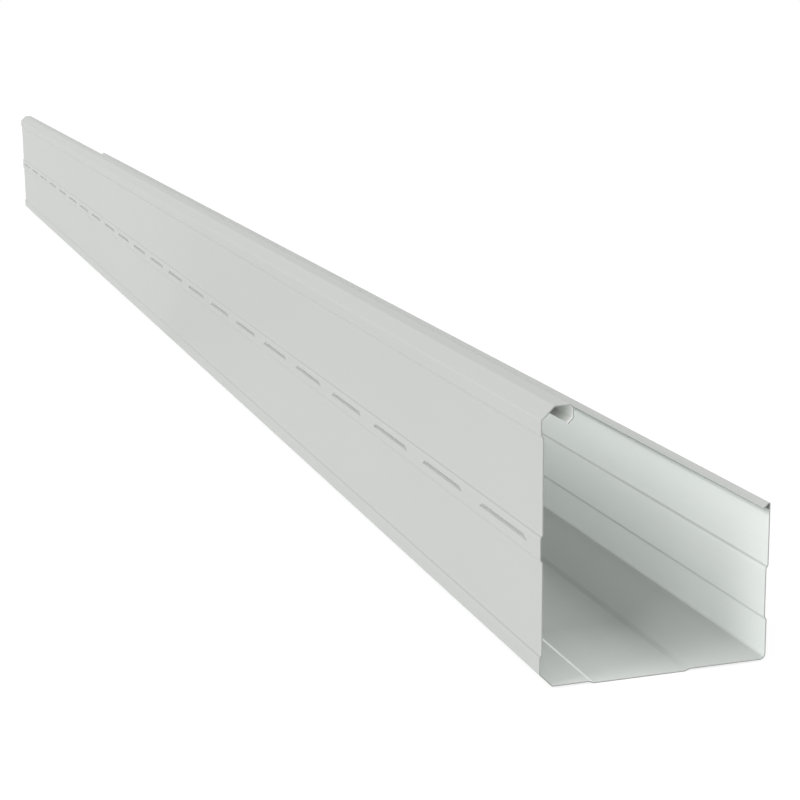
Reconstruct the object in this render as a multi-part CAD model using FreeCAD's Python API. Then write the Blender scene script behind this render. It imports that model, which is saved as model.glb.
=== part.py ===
"""Slotted square eaves gutter: one roll-formed, painted steel sheet, cut to a stock length.

Frame: X across the gutter (the high front wall at -X, the low back wall at +X), Y along its
length, Z up. The origin is the middle of the underside. Sizes in millimetres.
"""
import FreeCAD, Part
import math
import os

V = FreeCAD.Vector

# Stock
LENGTH = 2000.0
SHEET = 0.55
INSIDE_BEND = 0.7

# Overall section, measured on the outside of the sheet
WIDTH = 118.0
FRONT_HEIGHT = 136.0
BACK_HEIGHT = 80.0

# Bead along the top of the front wall, folded back over the channel
BEAD_WIDTH = 16.1
BEAD_CHAMFER = 6.5
BEAD_SHOULDER = 1.6
BEAD_DROP = 9.1
BEAD_RETURN = 2.6

# Stiffening bands: how far they stand out of the plain sheet, and the run of each step
BAND_DEPTH = 1.0
FRONT_STEP = 1.6
SOLE_STEP = 2.8
BACK_STEP = 1.8

# Front wall: its top band hangs from the rim, the others stand above the underside
TOP_BAND_HEIGHT = 13.5
RIB_MIDDLE = 68.5
RIB_FLAT = 10.3
TOE_BAND_TOP = 15.4
TOE_CHAMFER = 6.5

# Sole: the strip in its middle that the gutter stands on
SOLE_STRIP_START = 28.0
SOLE_STRIP_END = 75.1

# Back wall
HEEL_RADIUS = 3.0
BACK_BAND_FOOT = 23.0
BACK_BAND_TOP = 46.9
HEM_WIDTH = 3.8
HEM_DROP = 3.2
HEM_RADIUS = 0.7

# Overflow slots, lanced in the rib: as many as fit between the two ends
SLOT_PITCH = 90.6
SLOT_LENGTH = 64.6
SLOT_HEIGHT = 2.35
SLOT_END_SLANT = 4.4
SLOT_SILL = 68.0
SLOT_END_MARGIN = 12.0
TONGUE_ANGLE = 80.0


def bead_corners():
    """Outer side of the bead as (x, z), from its free edge to the chamfer on the front."""
    front = -WIDTH / 2
    nose = front + BEAD_WIDTH
    foot = FRONT_HEIGHT - BEAD_DROP
    return [
        (nose - BEAD_RETURN, foot),
        (nose, foot + BEAD_RETURN),
        (nose, FRONT_HEIGHT - BEAD_SHOULDER),
        (nose - BEAD_SHOULDER, FRONT_HEIGHT),
        (front + BEAD_CHAMFER, FRONT_HEIGHT),
        (front, FRONT_HEIGHT - BEAD_CHAMFER),
    ]


def front_wall_corners():
    """Outer side of the front wall, downwards: top band, rib and toe band stand out of it."""
    front = -WIDTH / 2
    panel = front + BAND_DEPTH
    top_band_foot = FRONT_HEIGHT - TOP_BAND_HEIGHT
    rib_top = RIB_MIDDLE + RIB_FLAT / 2
    rib_foot = RIB_MIDDLE - RIB_FLAT / 2
    return [
        (front, top_band_foot),
        (panel, top_band_foot - FRONT_STEP),
        (panel, rib_top + FRONT_STEP),
        (front, rib_top),
        (front, rib_foot),
        (panel, rib_foot - FRONT_STEP),
        (panel, TOE_BAND_TOP + FRONT_STEP),
        (front, TOE_BAND_TOP),
        (front, BAND_DEPTH + TOE_CHAMFER),
    ]


def sole_corners():
    """Outer side of the sole, front to back: its middle strip stands out downwards."""
    front = -WIDTH / 2
    return [
        (front + TOE_CHAMFER, BAND_DEPTH),
        (front + SOLE_STRIP_START - SOLE_STEP, BAND_DEPTH),
        (front + SOLE_STRIP_START, 0),
        (front + SOLE_STRIP_END, 0),
        (front + SOLE_STRIP_END + SOLE_STEP, BAND_DEPTH),
    ]


def back_wall_corners():
    """Outer side of the back wall, upwards: the heel, a band set inwards, and the folded edge.

    The fold turns further than a square corner, so its corner lies above the height it reaches.
    """
    back = WIDTH / 2
    inner_back = back - BAND_DEPTH
    half_fold = math.pi / 4 + math.atan2(HEM_DROP, HEM_WIDTH) / 2
    fold = BACK_HEIGHT + HEM_RADIUS * (math.tan(half_fold) - 1)
    return [
        (back, BAND_DEPTH, HEEL_RADIUS),
        (back, BACK_BAND_FOOT - BACK_STEP),
        (inner_back, BACK_BAND_FOOT),
        (inner_back, BACK_BAND_TOP),
        (back, BACK_BAND_TOP + BACK_STEP),
        (back, fold, HEM_RADIUS),
        (back - HEM_WIDTH, fold - HEM_DROP),
    ]


def bend_radius(before, corner, after):
    """Radius of the outer side at a bend: the outside of a convex bend is one sheet larger."""
    turn = (corner.x - before.x) * (after.z - corner.z) - (corner.z - before.z) * (after.x - corner.x)
    return INSIDE_BEND + SHEET if turn > 0 else INSIDE_BEND


def bent_outline(corners):
    """A wire in the XZ plane with a tangent arc at each inner corner.

    A corner is (x, z), or (x, z, radius) where its bend differs from the sheet's usual one.
    """
    points = [V(corner[0], 0, corner[1]) for corner in corners]
    edges = []
    start = points[0]
    for number in range(1, len(points) - 1):
        before, corner, after = points[number - 1:number + 2]
        own_radius = corners[number][2:]
        radius = own_radius[0] if own_radius else bend_radius(before, corner, after)
        into = (corner - before).normalize()
        out = (after - corner).normalize()
        half_turn = into.getAngle(out) / 2
        setback = radius * math.tan(half_turn)
        arc_start = corner - into * setback
        arc_end = corner + out * setback
        bisector = (out - into).normalize()
        middle = corner + bisector * (radius / math.cos(half_turn) - radius)
        edges.append(Part.LineSegment(start, arc_start).toShape())
        edges.append(Part.Arc(arc_start, middle, arc_end).toShape())
        start = arc_end
    edges.append(Part.LineSegment(start, points[-1]).toShape())
    return Part.Wire(edges)


def rolled_sheet():
    """The section, one sheet thick, drawn out to the stock length."""
    corners = bead_corners() + front_wall_corners() + sole_corners() + back_wall_corners()
    section = bent_outline(corners).makeOffset2D(SHEET, 0, True, True)
    sheet = section.extrude(V(0, LENGTH, 0))
    sheet.translate(V(0, -LENGTH / 2, 0))
    return sheet


def trapezoid(lean):
    """A slot's outline on its sill: long side down, the plane leaning `lean` degrees to +X."""
    tilt = math.radians(lean)
    up = V(math.sin(tilt), 0, math.cos(tilt)) * SLOT_HEIGHT
    left = V(0, -SLOT_LENGTH / 2, 0)
    right = V(0, SLOT_LENGTH / 2, 0)
    inset = V(0, SLOT_END_SLANT, 0)
    return Part.Face(Part.makePolygon([left, right, right - inset + up, left + inset + up, left]))


def slot_window():
    """What the slot opens in the rib, with one sheet to spare on each side of it."""
    window = trapezoid(0).extrude(V(3 * SHEET, 0, 0))
    window.translate(V(-SHEET, 0, 0))
    return window


def slot_tongue():
    """The metal of the slot, still joined along its sill and folded in over the channel."""
    tilt = math.radians(TONGUE_ANGLE)
    return trapezoid(TONGUE_ANGLE).extrude(V(math.cos(tilt), 0, -math.sin(tilt)) * SHEET)


def slot_places():
    """Middle of each slot's sill, on the rib's outer side; the row is centred on the length."""
    steps = int((LENGTH - SLOT_LENGTH - 2 * SLOT_END_MARGIN) // SLOT_PITCH)
    return [V(-WIDTH / 2, (n - steps / 2) * SLOT_PITCH, SLOT_SILL) for n in range(steps + 1)]


def moved(shape, place):
    copy = shape.copy()
    copy.translate(place)
    return copy


def gutter():
    """The finished length: the rolled sheet with its row of lanced slots."""
    places = slot_places()
    windows = Part.makeCompound([moved(slot_window(), place) for place in places])
    tongues = [moved(slot_tongue(), place) for place in places]
    return rolled_sheet().cut(windows).fuse(tongues).Solids[0]


os.makedirs("parts", exist_ok=True)
length = gutter()
length.exportStep("parts/gutter.step")
print("slots", len(slot_places()), "valid", length.isValid(), "volume", round(length.Volume))
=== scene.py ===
"""The looks of a slotted eaves gutter: painted steel on a pale studio floor. Sizes in metres."""
import math

import bmesh
import bpy
from mathutils import Matrix, Vector


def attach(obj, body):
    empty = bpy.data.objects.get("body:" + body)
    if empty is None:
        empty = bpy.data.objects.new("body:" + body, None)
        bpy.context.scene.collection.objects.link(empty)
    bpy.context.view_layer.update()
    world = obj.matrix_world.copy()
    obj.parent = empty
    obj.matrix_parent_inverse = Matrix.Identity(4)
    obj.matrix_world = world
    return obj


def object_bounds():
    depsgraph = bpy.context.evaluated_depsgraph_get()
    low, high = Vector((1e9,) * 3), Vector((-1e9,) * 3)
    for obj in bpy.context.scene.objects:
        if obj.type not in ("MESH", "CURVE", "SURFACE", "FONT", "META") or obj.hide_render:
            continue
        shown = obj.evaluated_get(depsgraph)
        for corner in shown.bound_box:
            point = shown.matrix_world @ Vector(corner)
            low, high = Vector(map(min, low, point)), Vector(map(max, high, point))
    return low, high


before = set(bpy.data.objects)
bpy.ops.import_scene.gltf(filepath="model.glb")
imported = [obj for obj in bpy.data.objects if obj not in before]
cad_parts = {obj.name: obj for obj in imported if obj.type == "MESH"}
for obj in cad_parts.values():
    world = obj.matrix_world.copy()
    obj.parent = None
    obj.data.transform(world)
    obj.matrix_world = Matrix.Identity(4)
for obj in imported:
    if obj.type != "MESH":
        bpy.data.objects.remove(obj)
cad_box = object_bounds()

LOW, HIGH = cad_box
MM = 0.001

# Camera: where it stands, which way it looks (degrees) and its focal length in millimetres
CAMERA_PLACE = (-0.3706, -1.7702, 0.3255)
CAMERA_HEADING = 17.63
CAMERA_DOWNWARD = 12.64
CAMERA_ROLL = -0.546
CAMERA_LENS = 84.71

# Light: the even studio, a broad lamp over the front wall, and a weak one at the open end. A lamp
# is the way it shines (across, along, up), its strength and its breadth in degrees.
STUDIO_STRENGTH = 0.82
FRONT_LAMP = ((1.0, 0.1, -0.82), 1.15, 28)
END_LAMP = ((0.6, 0.8, -0.35), 0.25, 40)

# Floor: half its side, the share of light it sends back to the object, and how it shows: a glow of
# its own, and a share of the light that falls on it, which the object's shadow takes away
FLOOR_HALF = 15.0
FLOOR_BOUNCE = 0.6
FLOOR_GLOW = 0.82
FLOOR_LIT = 0.25

# Paint and bare steel, and the colours that paint shade and light on them, in display values of 0 to 255
OUTSIDE_PAINT = (201, 203, 200)
# The next colour is painted shade: the outside paint darkened where it faces up
OUTSIDE_PAINTED_SHADE = (188, 190, 187)
INSIDE_PAINT = (245, 249, 246)
# The next colour is painted shade: the channel's coat darkened on the sole and heel, most away from the
# open ends
INSIDE_PAINTED_SHADE = (178, 182, 180)
# The next two are the bead hollow's coat as painted light at the open ends and as painted shade deeper in
BEAD_LIGHT_PAINTED = (252, 254, 251)
BEAD_SHADE_PAINTED = (150, 152, 149)
# The next colour is painted shade in the groove under the fold
GROOVE_PAINTED_SHADE = (150, 152, 150)
# The next two are painted shade on the slots' tongues and painted light on the webs at their ends
SLOT_PAINTED_SHADE = (184, 186, 183)
WEB_PAINTED_LIGHT = (214, 216, 213)
CUT_STEEL = (176, 178, 176)

# Surface: satin paint with mottle, streaks from rolling, and orange peel
SPECULAR = 0.12
ROUGHNESS = 0.5
STREAK_ROUGHNESS = 0.1
MOTTLE_SCALE = 7.0
MOTTLE_SHADE = 0.03
STREAK_STRETCH = (500, 4, 500)
STREAK_SHADE = 0.02
PEEL_SCALE = 900.0
PEEL_STRENGTH = 0.05
PEEL_HEIGHT = 0.2 * MM

# Parts of the section, as places across (x) or heights (z), and its middles as both
CHANNEL_MIDDLE = (0, 58 * MM)
BEAD_MIDDLE = (LOW.x + 8 * MM, HIGH.z - 4.5 * MM)
BEAD_HOLLOW_FOOT = HIGH.z - 9.3 * MM
TOP_BAND_FOOT = HIGH.z - 13.5 * MM
BACK_WALL_START = HIGH.x - 5 * MM
FOLD_MIDDLE = (57.2 * MM, 78.4 * MM)
FOLD_FOOT = 76.4 * MM
SOLE_TOP = 3 * MM
SOLE_FRONT_STEP = -32.4 * MM
SOLE_BACK_STEP = 17.5 * MM

# Outside, painted shade darkens what faces up, and painted light makes what faces down paler. Both are set
# by the height of the surface's normal, from where they start to where they are full.
OUTSIDE_PAINTED_SHADE_START = 0.2
OUTSIDE_PAINTED_SHADE_FULL = 0.7
UNDERSIDE_PAINTED_LIGHT_START = -0.1
UNDERSIDE_PAINTED_LIGHT_FULL = -0.5
UNDERSIDE_PAINTED_LIGHT_SHARE = 0.2

# In the channel painted shade darkens the sole: it ends at a height on the heel, leaves a painted highlight
# on the sole's front step, and thins out over a length before the open ends, less so along the back wall
HEEL_PAINTED_SHADE_TOP = 2.5 * MM
FRONT_STEP_HIGHLIGHT_HALF = 1 * MM
PAINTED_SHADE_FULL_FRONT = 0.92
PAINTED_SHADE_FADE_FRONT = 74 * MM
PAINTED_SHADE_FADE_BACK = 118 * MM
PAINTED_SHADE_AT_END_FRONT = 0.43
PAINTED_SHADE_AT_END_BACK = 0.68
# In the bead's hollow painted shade starts at the open ends, and is full this deep
BEAD_SHADE_PAINTED_DEPTH = 32 * MM

# Painted lines along a wall, painted shade and one painted highlight: their height, half their breadth, and
# how much they darken
FRONT_WALL_PAINTED_SHADE = [
    (74.45 * MM, 0.4 * MM, 0.14),  # the rib's upper step
    (16.2 * MM, 0.4 * MM, 0.14),  # the toe band's step
]
BACK_WALL_PAINTED_SHADE_AND_LIGHT = [
    (75.4 * MM, 2 * MM, 0.1),  # under the fold
    (48.1 * MM, 0.4 * MM, 0.2),  # the ledge over the band
    (47.1 * MM, 0.4 * MM, -0.06),  # the band's upper edge, a painted highlight
    (22.2 * MM, 0.4 * MM, 0.08),  # the crease under the band
]
# Painted shade along the sole's back step: a line on it, and a pool that thins out to both sides
STEP_HALF = 1.4 * MM
STEP_PAINTED_SHADE = 0.065
POOL_PAINTED_SHADE = 0.24
POOL_REACH_BACK = 32 * MM
POOL_REACH_FRONT = 36 * MM
# A line's edges are soft over this share of half its breadth, both ways
LINE_SOFTNESS = 0.1

# Slots: the heights of their edges, how far in from the front their tongues lie, and their row
SLOT_SILL = 67.9 * MM
SLOT_TOP = 70.4 * MM
TONGUE_START = LOW.x + 0.1 * MM
TONGUE_END = LOW.x + 2.6 * MM
SLOT_COUNT = 22
SLOT_PITCH = 90.6 * MM
SLOT_HALF_LENGTH = 32.3 * MM
# The web at a slot's end, in millimetres, as the distance behind the rib, the height, and the
# distance inwards from the slot's end: the sheet stretched from its upper edge to the tongue's tip
WEB_CORNERS = [(0.1, 68.0, 0.0), (0.25, 70.3, 4.1), (1.6, 69.8, 4.2), (2.25, 68.3, 4.1)]
WEB_SHEET = 0.35 * MM
# A web's normal points along the gutter by more than this, and a tongue's by less
WEB_NORMAL = 0.3

# The shear's cut faces lie within this of the two ends
CUT_DEPTH = 0.02 * MM


def linear(display):
    """A colour given as display values, as the shader's linear values."""
    shares = [value / 255 for value in display]
    return (*[s / 12.92 if s <= 0.04045 else ((s + 0.055) / 1.055) ** 2.4 for s in shares], 1.0)


class Nodes:
    """A node tree written as calls: each call adds a node and returns one of its outputs."""

    def __init__(self, owner):
        owner.use_nodes = True
        self.tree = owner.node_tree
        self.tree.nodes.clear()

    def add(self, kind, inputs=(), output=0, **settings):
        """inputs is a dictionary of socket name or number to a value or another node's output."""
        node = self.tree.nodes.new("ShaderNode" + kind)
        for name, value in settings.items():
            setattr(node, name, value)
        for key, value in dict(inputs).items():
            if isinstance(value, bpy.types.NodeSocket):
                self.tree.links.new(value, node.inputs[key])
            else:
                node.inputs[key].default_value = value
        return node.outputs[output] if node.outputs else None

    def axes(self, vector):
        return self.add("SeparateXYZ", {0: vector}).node.outputs

    def maths(self, operation, *values):
        return self.add("Math", dict(enumerate(values)), operation=operation)

    def vector(self, operation, *values, output=0):
        return self.add("VectorMath", dict(enumerate(values)), output, operation=operation)

    def both(self, first, second):
        return self.maths("MULTIPLY", first, second)

    def ramp(self, value, start, stop, at_start=0, at_stop=1):
        """Runs from at_start to at_stop while the value goes from start to stop, and no further."""
        return self.add("MapRange", dict(enumerate((value, start, stop, at_start, at_stop))))

    def mix(self, share, first, second):
        return self.add("Mix", {0: share, 6: first, 7: second}, 2, data_type="RGBA")

    def noise(self, place, scale, stretch=(1, 1, 1)):
        stretched = self.add("Mapping", {"Vector": place, "Scale": stretch})
        return self.add("TexNoise", {"Vector": stretched, "Scale": scale})

    def seen(self):
        """1 for rays that show a backdrop: from the camera, in a gloss or through glass."""
        path = self.add("LightPath", output="Is Camera Ray")
        gloss = path.node.outputs["Is Glossy Ray"]
        glass = path.node.outputs["Is Transmission Ray"]
        return self.maths("MAXIMUM", path, self.maths("MAXIMUM", gloss, glass))


def faces(nodes, place, normal, middle):
    """1 where the sheet faces a line that runs along the gutter, given by its x and z."""
    across = nodes.vector("SUBTRACT", (middle[0], 0, middle[1]), place)
    across = nodes.vector("MULTIPLY", across, (1, 0, 1))
    return nodes.maths("GREATER_THAN", nodes.vector("DOT_PRODUCT", across, normal, output="Value"), 0)


def channel_side(nodes, place, x, z, normal):
    """1 where the sheet faces the middle of the channel, below the top band and the fold."""
    facing = faces(nodes, place, normal, CHANNEL_MIDDLE)
    under_band = nodes.maths("LESS_THAN", z, TOP_BAND_FOOT)
    under_fold = nodes.maths("LESS_THAN", z, FOLD_FOOT)
    at_front = nodes.maths("LESS_THAN", x, 0)
    below = nodes.both(under_band, nodes.maths("MAXIMUM", at_front, under_fold))
    return nodes.both(facing, below)


def bead_hollow(nodes, place, z, normal):
    """1 on the walls of the hollow in the bead."""
    in_bead = nodes.maths("GREATER_THAN", z, BEAD_HOLLOW_FOOT)
    return nodes.both(in_bead, faces(nodes, place, normal, BEAD_MIDDLE))


def fold_groove(nodes, place, x, z, normal):
    """1 on the walls of the groove under the back edge's fold."""
    at_back = nodes.maths("GREATER_THAN", x, BACK_WALL_START)
    in_fold = nodes.maths("GREATER_THAN", z, FOLD_FOOT)
    return nodes.both(nodes.both(at_back, in_fold), faces(nodes, place, normal, FOLD_MIDDLE))


def slot_tongue(nodes, x, z):
    """1 on the tongues that are folded in from the slots, and on the webs at their ends."""
    behind = nodes.maths("GREATER_THAN", x, TONGUE_START)
    near = nodes.maths("LESS_THAN", x, TONGUE_END)
    level = nodes.maths("COMPARE", z, (SLOT_SILL + SLOT_TOP) / 2, (SLOT_TOP - SLOT_SILL) / 2)
    return nodes.both(level, nodes.both(behind, near))


def line(nodes, value, centre, half):
    """1 on a soft line where the value is within half of the centre."""
    away = nodes.maths("ABSOLUTE", nodes.maths("SUBTRACT", value, centre))
    return nodes.ramp(away, (1 - LINE_SOFTNESS) * half, (1 + LINE_SOFTNESS) * half, 1, 0)


def painted_shade_amount(nodes, x, from_middle):
    """How much of the channel's painted shade is left: it thins out towards the open ends."""
    full = nodes.ramp(x, 0, SOLE_BACK_STEP, PAINTED_SHADE_FULL_FRONT, 1)
    start = nodes.ramp(x, SOLE_BACK_STEP, HIGH.x, HIGH.y - PAINTED_SHADE_FADE_FRONT, HIGH.y - PAINTED_SHADE_FADE_BACK)
    at_end = nodes.ramp(x, SOLE_BACK_STEP, HIGH.x, PAINTED_SHADE_AT_END_FRONT, PAINTED_SHADE_AT_END_BACK)
    return nodes.ramp(from_middle, start, HIGH.y, full, at_end)


def wall_painted_lines(nodes, z, lines):
    """How much a wall's painted lines darken, added up: painted shade, and a painted highlight where the
    darkening is negative.
    """
    painted_shading = 0
    for height, half, strength in lines:
        painted_shading = nodes.maths("MULTIPLY_ADD", line(nodes, z, height, half), strength, painted_shading)
    return painted_shading


def painted_crease_shading(nodes, x, z, inside, left):
    """How much painted shade darkens: thin on the walls' ledges, and pooled along the sole's back step,
    less one painted highlight line on the back wall.
    """
    at_front = nodes.maths("LESS_THAN", x, 0)
    at_back = nodes.both(nodes.maths("GREATER_THAN", x, BACK_WALL_START), inside)
    on_front = nodes.both(at_front, wall_painted_lines(nodes, z, FRONT_WALL_PAINTED_SHADE))
    on_back = nodes.both(at_back, wall_painted_lines(nodes, z, BACK_WALL_PAINTED_SHADE_AND_LIGHT))
    sole = nodes.both(nodes.maths("LESS_THAN", z, SOLE_TOP), inside)
    step = nodes.both(sole, line(nodes, x, SOLE_BACK_STEP, STEP_HALF))
    from_step = nodes.maths("SUBTRACT", x, SOLE_BACK_STEP)
    behind = nodes.ramp(from_step, 0, POOL_REACH_BACK, 1, 0)
    before = nodes.ramp(from_step, 0, -POOL_REACH_FRONT, 1, 0)
    pool = nodes.both(nodes.both(sole, left), nodes.both(behind, before))
    painted_shading = nodes.maths("MULTIPLY_ADD", step, STEP_PAINTED_SHADE, nodes.maths("ADD", on_front, on_back))
    return nodes.maths("MULTIPLY_ADD", pool, POOL_PAINTED_SHADE, painted_shading)


# The outside paint, with painted shade on what faces up
def outside_coat(nodes, normal_z):
    shade_share = nodes.ramp(normal_z, OUTSIDE_PAINTED_SHADE_START, OUTSIDE_PAINTED_SHADE_FULL)
    return nodes.mix(shade_share, linear(OUTSIDE_PAINT), linear(OUTSIDE_PAINTED_SHADE))


# The channel's coat, with painted shade on the sole and heel and a painted highlight on the front step
def channel_coat(nodes, x, z, normal_z, left):
    lies = nodes.maths("MAXIMUM", nodes.ramp(normal_z, 0, 1), line(nodes, z, 0, HEEL_PAINTED_SHADE_TOP))
    # A painted highlight along the sole's front step, where the painted shade is left off
    off_highlight = nodes.maths("SUBTRACT", 1, line(nodes, x, SOLE_FRONT_STEP, FRONT_STEP_HIGHLIGHT_HALF))
    shade_share = nodes.both(nodes.both(lies, left), off_highlight)
    return nodes.mix(shade_share, linear(INSIDE_PAINT), linear(INSIDE_PAINTED_SHADE))


# The bead hollow's coat: painted light at the open ends, painted shade deeper in
def bead_coat(nodes, from_middle):
    shade_share = nodes.ramp(from_middle, HIGH.y - BEAD_SHADE_PAINTED_DEPTH, HIGH.y, 1, 0)
    return nodes.mix(shade_share, linear(BEAD_LIGHT_PAINTED), linear(BEAD_SHADE_PAINTED))


# Painted shade on the slots' tongues, and painted light on the webs at their ends
def slot_painted_shading(nodes, normal_y):
    web = nodes.maths("GREATER_THAN", nodes.maths("ABSOLUTE", normal_y), WEB_NORMAL)
    return nodes.mix(web, linear(SLOT_PAINTED_SHADE), linear(WEB_PAINTED_LIGHT))


def painted_steel():
    """Satin coil paint, a paler coat on the channel side, and bare steel at the cut ends, with painted
    shade and painted light on them.
    """
    material = bpy.data.materials.new("painted_steel")
    nodes = Nodes(material)
    place = nodes.add("TexCoord", output="Object")
    normal = nodes.add("NewGeometry", output="Normal")
    x, y, z = nodes.axes(place)
    _, normal_y, normal_z = nodes.axes(normal)
    from_middle = nodes.maths("ABSOLUTE", y)

    inside = channel_side(nodes, place, x, z, normal)
    # How much painted shade the channel keeps along its length
    left = painted_shade_amount(nodes, x, from_middle)
    cut_end = nodes.maths("GREATER_THAN", from_middle, HIGH.y - CUT_DEPTH)
    coat = nodes.mix(inside, outside_coat(nodes, normal_z), channel_coat(nodes, x, z, normal_z, left))
    coat = nodes.mix(bead_hollow(nodes, place, z, normal), coat, bead_coat(nodes, from_middle))
    # Painted shade in the groove under the fold
    coat = nodes.mix(fold_groove(nodes, place, x, z, normal), coat, linear(GROOVE_PAINTED_SHADE))
    # Painted shade on the slots' tongues, painted light on their webs
    coat = nodes.mix(slot_tongue(nodes, x, z), coat, slot_painted_shading(nodes, normal_y))
    coat = nodes.mix(cut_end, coat, linear(CUT_STEEL))

    streaks = nodes.noise(place, 1.0, STREAK_STRETCH)
    mottle = nodes.noise(place, MOTTLE_SCALE)
    shade = nodes.maths("MULTIPLY_ADD", mottle, MOTTLE_SHADE, 1 - MOTTLE_SHADE)
    shade = nodes.maths("MULTIPLY_ADD", streaks, STREAK_SHADE, shade)
    outside = nodes.maths("SUBTRACT", 1, inside)
    # Painted light: outside faces that look down are made paler
    under = nodes.both(nodes.ramp(normal_z, UNDERSIDE_PAINTED_LIGHT_START, UNDERSIDE_PAINTED_LIGHT_FULL, 0, UNDERSIDE_PAINTED_LIGHT_SHARE), outside)
    # Painted shade in the creases and along the sole's back step, with one painted highlight line
    painted_shading = painted_crease_shading(nodes, x, z, inside, left)
    painted_light_and_shade = nodes.maths("SUBTRACT", nodes.maths("ADD", under, 1), painted_shading)
    peel = {"Strength": PEEL_STRENGTH, "Distance": PEEL_HEIGHT, "Height": nodes.noise(place, PEEL_SCALE)}
    surface = nodes.add("BsdfPrincipled", {
        "Base Color": nodes.add("HueSaturation", {"Color": coat, "Value": nodes.both(shade, painted_light_and_shade)}),
        "Specular IOR Level": SPECULAR,
        "Roughness": nodes.maths("MULTIPLY_ADD", streaks, STREAK_ROUGHNESS, ROUGHNESS),
        "Normal": nodes.add("Bump", peel),
    })
    nodes.add("OutputMaterial", {"Surface": surface})
    return material


def slot_webs(material):
    """A small curved web at both ends of each slot, closed and one thin sheet thick."""
    build = bmesh.new()
    for number in range(SLOT_COUNT):
        middle = (number - (SLOT_COUNT - 1) / 2) * SLOT_PITCH
        for end in (-1, 1):
            rings = []
            for thick in (0, WEB_SHEET):
                rings.append([build.verts.new((
                    LOW.x + behind * MM,
                    middle + end * (SLOT_HALF_LENGTH - inwards * MM + thick),
                    height * MM,
                )) for behind, height, inwards in WEB_CORNERS])
            build.faces.new(rings[0])
            build.faces.new(rings[1][::-1])
            for a in range(len(WEB_CORNERS)):
                b = (a + 1) % len(WEB_CORNERS)
                build.faces.new((rings[0][a], rings[1][a], rings[1][b], rings[0][b]))
    bmesh.ops.recalc_face_normals(build, faces=build.faces)
    mesh = bpy.data.meshes.new("slot_webs")
    build.to_mesh(mesh)
    build.free()
    mesh.materials.append(material)
    webs = bpy.data.objects.new("slot_webs", mesh)
    bpy.context.collection.objects.link(webs)
    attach(webs, "root")


def grey(level):
    return (level, level, level, 1)


def floor_paint():
    """A pale floor: it lights the object as grey does, and shows as white with a shadow."""
    material = bpy.data.materials.new("floor")
    nodes = Nodes(material)
    bounce = nodes.add("BsdfDiffuse", {"Color": grey(FLOOR_BOUNCE)})
    shown = nodes.add("AddShader", {
        0: nodes.add("Emission", {"Color": grey(1), "Strength": FLOOR_GLOW}),
        1: nodes.add("BsdfDiffuse", {"Color": grey(FLOOR_LIT)}),
    })
    nodes.add("OutputMaterial", {"Surface": nodes.add("MixShader", {0: nodes.seen(), 1: bounce, 2: shown})})
    return material


def floor():
    half = FLOOR_HALF
    mesh = bpy.data.meshes.new("floor")
    corners = [(-half, -half), (half, -half), (half, half), (-half, half)]
    mesh.from_pydata([(x, y, LOW.z) for x, y in corners], [], [(0, 1, 2, 3)])
    mesh.materials.append(floor_paint())
    plane = bpy.data.objects.new("floor", mesh)
    bpy.context.collection.objects.link(plane)


def studio():
    """An even white studio: the world lights the object, and shows as white behind it."""
    world = bpy.data.worlds.new("studio")
    bpy.context.scene.world = world
    nodes = Nodes(world)
    light = nodes.add("Background", {"Color": grey(1), "Strength": STUDIO_STRENGTH})
    backdrop = nodes.add("Background", {"Color": grey(1), "Strength": 1.0})
    nodes.add("OutputWorld", {"Surface": nodes.add("MixShader", {0: nodes.seen(), 1: light, 2: backdrop})})
    bpy.context.scene.view_settings.view_transform = "Standard"


def lamp(way, strength, breadth):
    data = bpy.data.lights.new("lamp", "SUN")
    data.energy = strength
    data.angle = math.radians(breadth)
    light = bpy.data.objects.new("lamp", data)
    light.rotation_euler = Vector(way).to_track_quat("-Z", "Y").to_euler()
    bpy.context.collection.objects.link(light)


def camera():
    data = bpy.data.cameras.new("camera")
    data.lens = CAMERA_LENS
    view = bpy.data.objects.new("camera", data)
    bpy.context.collection.objects.link(view)
    heading = Matrix.Rotation(math.radians(-CAMERA_HEADING), 4, "Z")
    tilt = Matrix.Rotation(math.radians(90 - CAMERA_DOWNWARD), 4, "X")
    roll = Matrix.Rotation(math.radians(CAMERA_ROLL), 4, "Z")
    view.matrix_world = Matrix.Translation(CAMERA_PLACE) @ heading @ tilt @ roll
    bpy.context.scene.camera = view


camera()
floor()
studio()
lamp(*FRONT_LAMP)
lamp(*END_LAMP)
paint = painted_steel()
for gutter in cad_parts.values():
    gutter.material_slots[0].material = paint
slot_webs(paint)
